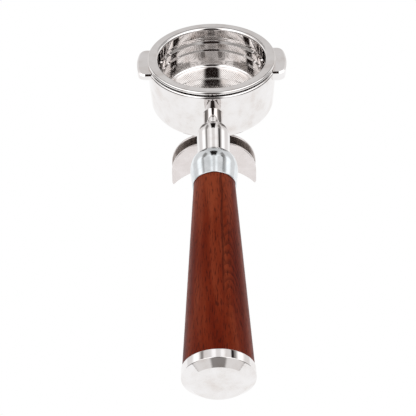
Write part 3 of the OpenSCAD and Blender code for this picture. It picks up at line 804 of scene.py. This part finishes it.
def arm_and_boss(bm, sizes, wall_r):
    """The arm and the boss, turned along the handle's axis; the arm's root follows the cup's wall."""
    boss_end = handle_span("collar_washer")[0]
    boss_start = boss_end - sizes.boss_len
    wall = wall_r / cos(HANDLE_SLOPE)
    hole_low = boss_end - sizes.rod_hold
    rod_r = handle_radius("handle_rod", handle_span("handle_rod")[0])
    arm = section(
        (0, wall - sizes.arm_root),
        (sizes.arm_r + sizes.arm_fillet, wall - sizes.arm_root),
        (sizes.arm_r + sizes.arm_fillet, wall),
        (sizes.arm_r, wall, sizes.arm_fillet),
        (sizes.arm_r, boss_start - sizes.neck_len, 2 * sizes.neck_len),
        (sizes.arm_r - sizes.neck_drop, boss_start), steps=12)
    front_r = sizes.boss_r - sizes.bell_drop
    bell = quarter_oval(front_r, sizes.boss_r, boss_start, boss_start + sizes.bell_len)
    back = section(
        (sizes.boss_r, boss_start + sizes.bell_len),
        (sizes.boss_r - sizes.boss_taper, boss_end, sizes.edge),
        (rod_r, boss_end),
        (rod_r, hole_low),
        (0, hole_low))
    turned = lathe(bm, arm + bell + back[1:], steps=128)
    for vert in turned:
        if vert.co.z < (wall + boss_start) / 2:
            vert.co.z -= vert.co.y * tan(HANDLE_SLOPE) + vert.co.x ** 2 / (2 * wall_r)
    bmesh.ops.transform(bm, matrix=HANDLE, space=IDENTITY, verts=turned)


class PORTAFILTER_OT_cup(bpy.types.Operator):
    """Forged cup with its lugs, its arm and its boss, chromed in one piece"""
    bl_idname = "portafilter.cup"
    bl_label = "Cup"

    def execute(self, context):
        sizes = settings("cup")
        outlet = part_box("outlet_gasket")[1].z
        top = min(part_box("basket")[1].z, 0) - settings("basket").rim_t
        bm = bmesh.new()
        for facing in (0, pi):
            lug(bm, sizes, facing)
        wall_top, draft = cup_shell(bm, sizes, top, outlet)
        crossing = HANDLE.translation.z - wall_top * tan(HANDLE_SLOPE)
        arm_and_boss(bm, sizes, wall_top - draft * (top - sizes.top_edge - crossing))
        close_up(bm)
        # The land and the relief under the basket's rim get the darkened finish: painted shade of the gap.
        for face in bm.faces:
            middle = face.calc_center_median()
            away = hypot(middle.x, middle.y)
            high_up = middle.z > top - sizes.relief - NEAR
            if high_up and sizes.bore_r + sizes.edge / 2 < away < wall_top - sizes.top_edge:
                face.material_index = 1
        make_piece("cup", bm, "holder", ["chrome_plate", "coffee_stained_brass"], ["body"])
        return {"FINISHED"}


def perforated_floor(bm, sizes, outer_r, top, steps):
    """Flat floor with a honeycomb of holes, open at its outer edge."""
    bmesh.ops.create_circle(bm, cap_ends=False, radius=outer_r, segments=steps,
                            matrix=Matrix.Translation((0, 0, top)))
    ring_edges = list(bm.edges)
    across = sizes.hole_pitch
    along = across * sqrt(3) / 2
    cell_r = across / sqrt(3)
    reach = outer_r - sizes.plain_band
    rows = int(reach / along)
    columns = int(reach / across) + 1
    for row in range(-rows, rows + 1):
        shift = across / 2 * (row % 2)
        for column in range(-columns, columns + 1):
            spot = Vector((column * across + shift, row * along, top))
            if hypot(spot.x, spot.y) < reach:
                bmesh.ops.create_circle(bm, cap_ends=True, radius=cell_r, segments=6,
                                        matrix=Matrix.Translation(spot))
    # neighbouring cells share their corners, and the disc is filled from the outer cells to its edge
    bmesh.ops.remove_doubles(bm, verts=bm.verts, dist=cell_r / 10)
    border = [edge for edge in bm.edges if edge.is_boundary]
    bmesh.ops.triangle_fill(bm, edges=ring_edges + border, use_beauty=True, use_dissolve=False,
                            normal=(0, 0, 1))
    cells = [face for face in bm.faces if len(face.verts) == 6]
    bmesh.ops.inset_individual(bm, faces=cells, thickness=(across - sizes.hole_d) / 2,
                               use_even_offset=True)
    bmesh.ops.delete(bm, geom=cells, context="FACES")
    sheet = bmesh.ops.extrude_face_region(bm, geom=list(bm.faces), use_keep_orig=True)
    lowered = only(BMVert, sheet)
    bmesh.ops.translate(bm, vec=(0, 0, -sizes.sheet), verts=lowered)
    edge_wall = [face for face in bm.faces
                 if all(hypot(vert.co.x, vert.co.y) > outer_r - TOUCH for vert in face.verts)]
    bmesh.ops.delete(bm, geom=edge_wall, context="FACES")


class PORTAFILTER_OT_basket(bpy.types.Operator):
    """Filter basket pressed from sheet, with a rolled rim, a holding ridge and a floor full of holes"""
    bl_idname = "portafilter.basket"
    bl_label = "Filter basket"

    def execute(self, context):
        sizes = settings("basket")
        low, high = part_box("basket")
        bore = mount_radius("tamper_bore")
        rim = high.x
        sheet = sizes.sheet
        floor = low.z + sheet
        corner = bore - sizes.taper
        rise = (sizes.ridge_h - sizes.ridge_flat) / 2
        ridge = -sizes.ridge_z
        bead = sizes.rim_t / 2 - TOUCH
        hollow = sizes.rim_hollow - sizes.rim_t
        step_out = bore - sizes.draw
        step_in = step_out - sizes.step_w
        perforated_r = corner - sizes.floor_round - sizes.disc_gap
        steps = 200
        bm = bmesh.new()
        perforated_floor(bm, sizes, perforated_r, floor, steps)
        bends = [(bore, ridge), (bore + sizes.ridge_out, ridge - rise),
                 (bore + sizes.ridge_out, ridge - sizes.ridge_h + rise), (bore, ridge - sizes.ridge_h),
                 (step_out, -sizes.step_z), (step_in, -sizes.step_z - sizes.step_h)]
        inside = [(across, up, sizes.bend_round) for across, up in bends]
        outside = [(across + sheet, up, sizes.bend_round) for across, up in reversed(bends)]
        lathe(bm, section(
            (perforated_r, floor - sheet),
            (corner + sheet, floor - sheet, sizes.floor_round + sheet),
            *outside,
            (bore + sheet, hollow, sizes.hollow_round),
            (rim - 2 * bead, hollow),
            (rim - sizes.lip_w, -sizes.rim_t, sizes.lip_round),
            (rim, -sizes.rim_t, bead),
            (rim, 0, bead),
            (bore, 0, sizes.rim_fillet),
            *inside,
            (corner, floor, sizes.floor_round),
            (perforated_r, floor), steps=12), steps=steps)
        close_up(bm)
        for face in bm.faces:
            middle = face.calc_center_median()
            if middle.z < floor + TOUCH and hypot(middle.x, middle.y) < perforated_r:
                face.material_index = 1
        make_piece("filter_basket", bm, "filter_basket",
                   ["stainless_sheet", "perforated_sheet"], ["basket"])
        return {"FINISHED"}


def spout_outline(sizes, half_span, crown, foot):
    """Right half of the arch: its tip, its outer line up to the middle, and the arch's own circle."""
    rise = crown - sizes.crown_h - foot
    arch_r = (half_span ** 2 + rise ** 2) / (2 * rise)
    arch_z = foot + rise - arch_r
    lean = sizes.tip_cut / sizes.tip_rise
    tip = Vector((half_span, foot))
    for _ in range(ROUNDS):
        tip.y = arch_z + sqrt(arch_r ** 2 - tip.x ** 2)
        tip.x = half_span - lean * max(0, foot + sizes.tip_rise - tip.y)
    lip = Vector((half_span, arch_z + sqrt((arch_r + sizes.floor) ** 2 - half_span ** 2)))
    outer = [Vector((half_span, foot + sizes.tip_rise)), lip]
    outer += arc(half_span - sizes.shoulder_r, crown - sizes.shoulder_r, sizes.shoulder_r, 0, pi / 2, 28)
    return tip, outer, arch_r, arch_z


def channel_body(bm, sizes, half_span, crown):
    """The arch with its side walls, and its channel sunk from above down to the floor."""
    tip, outer, arch_r, arch_z = spout_outline(sizes, half_span, crown, crown - sizes.arch_h)
    mirrored = [Vector((-point.x, point.y)) for point in reversed(outer)]
    swing = atan2(tip.y - arch_z, tip.x)
    under = arc(0, arch_z, arch_r, pi - swing, swing, 64)
    outline = [tip] + outer + mirrored + under[:-1]
    verts = [bm.verts.new((point.x, -sizes.depth / 2, point.y)) for point in outline]
    cap = bm.faces.new(verts)
    inner = sizes.depth / 2 - sizes.wall
    for place in (-inner, inner, sizes.depth / 2):
        moved = bmesh.ops.extrude_face_region(bm, geom=[cap])
        # only the first cap is an outer face; the others would be left inside
        if cap.verts[0].co.y > -sizes.depth / 2:
            bmesh.ops.delete(bm, geom=[cap], context="FACES_ONLY")
        for vert in only(BMVert, moved):
            vert.co.y = place
        cap = only(BMFace, moved)[0]
    floor_r = arch_r + sizes.floor
    strip = []
    for face in bm.faces:
        middle = face.calc_center_median()
        outside = hypot(middle.x, middle.z - arch_z) > floor_r - NEAR
        if abs(middle.y) < inner / 2 and outside:
            strip.append(face)
    sunk = bmesh.ops.extrude_face_region(bm, geom=strip)
    bmesh.ops.delete(bm, geom=strip, context="FACES")
    for vert in only(BMVert, sunk):
        ray = Vector((vert.co.x, vert.co.z - arch_z)).normalized() * floor_r
        vert.co.x = ray.x
        vert.co.z = arch_z + ray.y
    bmesh.ops.remove_doubles(bm, verts=bm.verts, dist=NEAR)
    bmesh.ops.dissolve_degenerate(bm, edges=bm.edges, dist=TOUCH)
    for face in bm.faces:
        middle = face.calc_center_median()
        walls = abs(abs(middle.y) - inner) < TOUCH
        away = hypot(middle.x, middle.z - arch_z)
        on_floor = abs(middle.y) < inner / 2 and away > floor_r - SAG
        face.material_index = 1 if walls or on_floor else 0
    bmesh.ops.recalc_face_normals(bm, faces=bm.faces)
    bevel_sharp(bm, sizes.edge)


def hub(bm, sizes, top, crown, radius, thread_r):
    """The round hub that takes the nipple, and the ribs that carry it down both side walls."""
    web = crown - sizes.web
    lathe(bm, section(
        (thread_r, top, sizes.hub_edge),
        (thread_r, top - sizes.thread_h),
        (sizes.flow_r, top - sizes.thread_h),
        (sizes.flow_r, web),
        (radius, web),
        (radius, top, sizes.hub_edge), closed=True), closed=True, steps=128)
    foot = crown - sizes.crown_h + sizes.floor + sizes.hub_lift
    tip_r = (sizes.depth - sizes.wall) / 2
    inner = sizes.depth / 2 - sizes.wall
    for side in (-1, 1):
        kept = set(bm.verts)
        lathe(bm, section((0, web + sizes.rib_root), (radius, web + sizes.rib_root),
                          (radius, foot + radius - tip_r, sizes.rib_round), (tip_r, foot),
                          (0, foot)), steps=128)
        bmesh.ops.remove_doubles(bm, verts=new_verts(bm, kept), dist=WELD)
        cut = bmesh.ops.bisect_plane(bm, geom=added_since(bm, kept), dist=ON_PLANE,
                                     plane_co=(0, side * (inner + NEAR), 0), plane_no=(0, -side, 0),
                                     clear_outer=True)
        bmesh.ops.edgeloop_fill(bm, edges=only(BMEdge, cut, "geom_cut"))


class PORTAFILTER_OT_spout(bpy.types.Operator):
    """Double spout: an arched open channel with a threaded hub"""
    bl_idname = "portafilter.spout"
    bl_label = "Double spout"

    def execute(self, context):
        sizes = settings("spout")
        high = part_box("spout")[1]
        crown = high.z - sizes.collar_h
        bm = bmesh.new()
        channel_body(bm, sizes, high.x, crown)
        hub(bm, sizes, high.z, crown, high.y, high.y - sizes.collar_wall)
        close_up(bm)
        make_piece("double_spout", bm, "double_spout",
                   ["polished_casting", "stained_casting"], ["spout"])
        return {"FINISHED"}


def screw_thread(bm, sizes, low, high, steps=48):
    """A triangular thread wound round Z between two heights; each turn fills nine tenths of its pitch."""
    pitch = sizes.thread_pitch
    half = pitch * 0.45
    foot = sizes.thread_r - sizes.thread_depth - sizes.thread_sink
    verts = [bm.verts.new(corner) for corner in ((foot, 0, low), (sizes.thread_r, 0, low + half),
                                                 (foot, 0, low + 2 * half))]
    profile = bm.faces.new(verts)
    all_steps = int((high - low - 2 * half) / pitch * steps)
    bmesh.ops.spin(bm, geom=[profile] + list(profile.edges) + verts, cent=(0, 0, 0), axis=(0, 0, 1),
                   dvec=(0, 0, pitch / steps), angle=2 * pi * all_steps / steps, steps=all_steps,
                   use_merge=False, use_normal_flip=False, use_duplicate=False)


class PORTAFILTER_OT_fittings(bpy.types.Operator):
    """Threaded nipple with a hexagon, and the seals and small parts that keep their CAD shapes"""
    bl_idname = "portafilter.fittings"
    bl_label = "Nipple and small parts"

    def execute(self, context):
        sizes = settings("fittings")
        low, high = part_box("spout_nipple")
        hex_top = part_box("outlet_gasket")[0].z
        hex_low = hex_top - sizes.hex_h
        flow_r = settings("spout").flow_r
        core = sizes.thread_r - sizes.thread_depth
        bm = bmesh.new()
        bmesh.ops.create_cone(bm, cap_ends=True, segments=6, radius1=high.y, radius2=high.y,
                              depth=sizes.hex_h, matrix=Matrix.Translation((0, 0, (hex_top + hex_low) / 2)))
        bevel_sharp(bm, sizes.edge)
        lathe(bm, section((flow_r, low.z, sizes.edge), (core, low.z, sizes.edge),
                          (core, high.z, sizes.edge), (flow_r, high.z, sizes.edge),
                          closed=True), closed=True, steps=96)
        for bottom, top in ((low.z, hex_low), (hex_top, high.z)):
            screw_thread(bm, sizes, bottom, top)
        close_up(bm)
        make_piece("spout_nipple_threaded", bm, "holder",
                   ["chrome_plate"], ["spout_nipple"])
        for name, finish in (("outlet_gasket", "sealing_plastic"), ("spout_gasket", "sealing_plastic"),
                             ("basket_spring", "drawn_wire"), ("handle_rod", "zinc_plate"),
                             ("front_bush", "turned_brass"), ("rear_washer", "zinc_plate"),
                             ("rear_nut", "zinc_plate")):
            slots = frame["nodes"][name].data.materials
            for index in range(len(slots)):
                slots[index] = material(finish)
        return {"FINISHED"}


class PORTAFILTER_OT_collar(bpy.types.Operator):
    """Domed collar and the washer between it and the boss"""
    bl_idname = "portafilter.collar"
    bl_label = "Collar and washer"

    def execute(self, context):
        sizes = settings("handle")
        start, end = handle_span("collar")
        front_r = handle_radius("collar", start)
        widest = start + sizes.dome_len
        wide_r = handle_radius("collar", widest)
        rear_r = handle_radius("collar", end)
        dome = quarter_oval(front_r, wide_r, start, widest)
        socket = end - sizes.tenon_len
        outline = [Vector((sizes.rod_r, start))] + dome
        outline += section((wide_r, widest), (rear_r, end, sizes.edge), (sizes.tenon_r, end, sizes.edge),
                           (sizes.tenon_r, socket), (sizes.rod_r, socket))[1:]
        bm = bmesh.new()
        lathe(bm, outline, HANDLE, closed=True)
        close_up(bm)
        make_piece("handle_collar", bm, "holder", ["polished_aluminium"], ["collar"])
        start, end = handle_span("collar_washer")
        washer_r = handle_radius("collar_washer", start)
        bm = bmesh.new()
        lathe(bm, section((sizes.rod_r, start), (washer_r, start, sizes.edge), (washer_r, end, sizes.edge),
                          (sizes.rod_r, end), closed=True), HANDLE, closed=True)
        close_up(bm)
        make_piece("boss_washer", bm, "holder", ["chrome_plate"], ["collar_washer"])
        return {"FINISHED"}


class PORTAFILTER_OT_grip(bpy.types.Operator):
    """Turned wooden grip with its tenon, its bore and its counterbore"""
    bl_idname = "portafilter.grip"
    bl_label = "Wooden grip"

    def execute(self, context):
        sizes = settings("handle")
        tenon, end = handle_span("grip")
        shoulder = handle_span("collar")[1] + TOUCH
        socket = handle_span("rear_washer")[0]
        bush_end = handle_span("front_bush")[1]
        bm = bmesh.new()
        lathe(bm, section(
            (sizes.bush_r, tenon),
            (sizes.tenon_r, tenon, sizes.edge),
            (sizes.tenon_r, shoulder),
            (handle_radius("grip", shoulder), shoulder, sizes.edge),
            (handle_radius("grip", end), end, sizes.edge),
            (sizes.socket_r, end),
            (sizes.socket_r, socket),
            (sizes.wood_bore_r, socket),
            (sizes.wood_bore_r, bush_end),
            (sizes.bush_r, bush_end), closed=True), HANDLE, closed=True)
        close_up(bm)
        make_piece("wooden_grip", bm, "holder", ["oiled_rosewood"], ["grip"])
        return {"FINISHED"}


class PORTAFILTER_OT_end_cap(bpy.types.Operator):
    """Metal end cap with a polished ring, a broad chamfer and a flat end"""
    bl_idname = "portafilter.end_cap"
    bl_label = "End cap"

    def execute(self, context):
        sizes = settings("handle")
        spigot, end = handle_span("end_cap")
        shoulder = spigot + sizes.spigot_len
        ring_end = end - sizes.cap_chamfer_h
        ring_r = handle_radius("end_cap", ring_end)
        rod_end = handle_span("handle_rod")[1] + sizes.rod_gap
        bm = bmesh.new()
        lathe(bm, section(
            (sizes.rod_r, spigot),
            (sizes.socket_r, spigot, sizes.edge),
            (sizes.socket_r, shoulder),
            (ring_r, shoulder, sizes.edge),
            (ring_r, ring_end, sizes.crisp),
            (ring_r - sizes.cap_chamfer_w, end, sizes.crisp),
            (0, end)), HANDLE)
        lathe(bm, section((0, rod_end), (sizes.rod_r, rod_end), (sizes.rod_r, spigot)), HANDLE)
        close_up(bm)
        make_piece("handle_end_cap", bm, "holder", ["chromed_turned_steel"], ["end_cap"])
        return {"FINISHED"}


def studio_world(sizes):
    """White studio: the camera sees plain white, and the metal sees the soft light of the tent.

    Azimuths run from the side opposite the camera, and elevations from level.
    """
    world = bpy.data.worlds.new("studio_tent")
    world.use_nodes = True
    tree = world.node_tree
    tree.nodes.clear()
    output = node(tree, "ShaderNodeOutputWorld")
    way = node(tree, "ShaderNodeTexCoord").outputs["Generated"]
    parts = node(tree, "ShaderNodeSeparateXYZ", links={"Vector": way}).outputs
    round_it = node(tree, "ShaderNodeMath", {"operation": "ARCTAN2"},
                    links={0: parts["X"], 1: parts["Y"]}).outputs[0]
    both_sides = node(tree, "ShaderNodeMath", {"operation": "ABSOLUTE"}, links={0: round_it}).outputs[0]
    upwards = node(tree, "ShaderNodeMath", {"operation": "ARCSINE"}, links={0: parts["Z"]}).outputs[0]
    tone = node(tree, "ShaderNodeMix", {"data_type": "RGBA"}, {0: 0, 6: sizes.tent}).outputs[2]
    for side, azimuth, width, elevation, height, soft, shade, strength in STUDIO_ZONES:
        masks = []
        turned = both_sides if side == "both" else round_it
        for angle, middle, size in ((turned, azimuth, width), (upwards, elevation, height)):
            off = node(tree, "ShaderNodeMath", {"operation": "SUBTRACT"}, {1: radians(middle)}, {0: angle})
            away = node(tree, "ShaderNodeMath", {"operation": "ABSOLUTE"}, links={0: off.outputs[0]})
            masks.append(node(tree, "ShaderNodeMapRange", {"interpolation_type": "SMOOTHSTEP"},
                              {"From Min": radians(size / 2 - soft), "From Max": radians(size / 2 + soft),
                               "To Min": 1, "To Max": 0}, {"Value": away.outputs[0]}).outputs["Result"])
        mask = node(tree, "ShaderNodeMath", {"operation": "MULTIPLY"}, links={0: masks[0], 1: masks[1]})
        light = [part * strength for part in colour(shade)]
        tone = node(tree, "ShaderNodeMix", {"data_type": "RGBA"}, {7: light},
                    {0: mask.outputs[0], 6: tone}).outputs[2]
    tent = node(tree, "ShaderNodeBackground", links={"Color": tone})
    backdrop = node(tree, "ShaderNodeBackground", inputs={"Color": (1, 1, 1, 1)})
    seen = node(tree, "ShaderNodeLightPath").outputs["Is Camera Ray"]
    mixed = node(tree, "ShaderNodeMixShader", links={0: seen, 1: tent.outputs[0], 2: backdrop.outputs[0]})
    tree.links.new(mixed.outputs[0], output.inputs["Surface"])
    bpy.context.scene.world = world


class PORTAFILTER_OT_studio(bpy.types.Operator):
    """Plain white floor, soft studio tent and camera"""
    bl_idname = "portafilter.studio"
    bl_label = "Studio"

    def execute(self, context):
        sizes = settings("studio")
        scene = context.scene
        low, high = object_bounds()
        bm = bmesh.new()
        bmesh.ops.create_grid(bm, x_segments=1, y_segments=1, size=sizes.floor_size / 2,
                              matrix=Matrix.Translation(((low.x + high.x) / 2, (low.y + high.y) / 2, low.z)))
        mesh = bpy.data.meshes.new("floor")
        bm.to_mesh(mesh)
        bm.free()
        floor_material = bpy.data.materials.new("white_sweep")
        floor_material.use_nodes = True
        tree = floor_material.node_tree
        tree.nodes.clear()
        output = node(tree, "ShaderNodeOutputMaterial")
        glow = node(tree, "ShaderNodeEmission", inputs={"Color": (1, 1, 1, 1), "Strength": 1})
        clear = node(tree, "ShaderNodeBsdfTransparent")
        under = node(tree, "ShaderNodeNewGeometry").outputs["Backfacing"]
        sheet = node(tree, "ShaderNodeMixShader", links={
            0: under, 1: glow.outputs["Emission"], 2: clear.outputs["BSDF"]})
        tree.links.new(sheet.outputs["Shader"], output.inputs["Surface"])
        mesh.materials.append(floor_material)
        floor = bpy.data.objects.new("floor", mesh)
        scene.collection.objects.link(floor)
        floor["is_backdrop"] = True
        studio_world(sizes)
        data = bpy.data.cameras.new("camera")
        data.sensor_width = 36
        data.lens = sizes.lens
        data.clip_start = 0.01
        data.clip_end = 50
        camera = bpy.data.objects.new("camera", data)
        scene.collection.objects.link(camera)
        across = sizes.camera_distance * cos(sizes.camera_height)
        place = Vector((across * sin(sizes.camera_side), -across * cos(sizes.camera_side),
                        sizes.camera_distance * sin(sizes.camera_height)))
        look = (Vector(sizes.camera_aim) - place).to_track_quat("-Z", "Y").to_matrix().to_4x4()
        camera.matrix_world = Matrix.Translation(place) @ look @ Matrix.Rotation(sizes.camera_roll, 4, "Z")
        scene.camera = camera
        scene.view_settings.view_transform = "Standard"
        return {"FINISHED"}


OPERATORS = (PORTAFILTER_OT_cup, PORTAFILTER_OT_basket, PORTAFILTER_OT_spout, PORTAFILTER_OT_fittings,
             PORTAFILTER_OT_collar, PORTAFILTER_OT_grip, PORTAFILTER_OT_end_cap, PORTAFILTER_OT_studio)


class PORTAFILTER_PT_panel(bpy.types.Panel):
    """Lists the pieces of the portafilter"""
    bl_idname = "PORTAFILTER_PT_panel"
    bl_label = "Portafilter"
    bl_space_type = "VIEW_3D"
    bl_region_type = "UI"
    bl_category = "Portafilter"

    def draw(self, context):
        for maker in OPERATORS:
            self.layout.operator(maker.bl_idname, text=maker.bl_label)
        for name in GROUPS:
            box = self.layout.box()
            box.label(text=name.title())
            for key in GROUPS[name].__annotations__:
                box.prop(settings(name), key)


def register():
    for name, group in GROUPS.items():
        bpy.utils.register_class(group)
        setattr(bpy.types.Scene, "portafilter_" + name, bpy.props.PointerProperty(type=group))
    for maker in OPERATORS:
        bpy.utils.register_class(maker)
    bpy.utils.register_class(PORTAFILTER_PT_panel)


def unregister():
    bpy.utils.unregister_class(PORTAFILTER_PT_panel)
    for maker in reversed(OPERATORS):
        bpy.utils.unregister_class(maker)
    for name, group in GROUPS.items():
        delattr(bpy.types.Scene, "portafilter_" + name)
        bpy.utils.unregister_class(group)


def main():
    """Registers the add-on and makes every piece."""
    register()
    for maker in OPERATORS:
        getattr(bpy.ops.portafilter, maker.bl_idname.split(".")[1])()


if __name__ == "__main__":
    main()
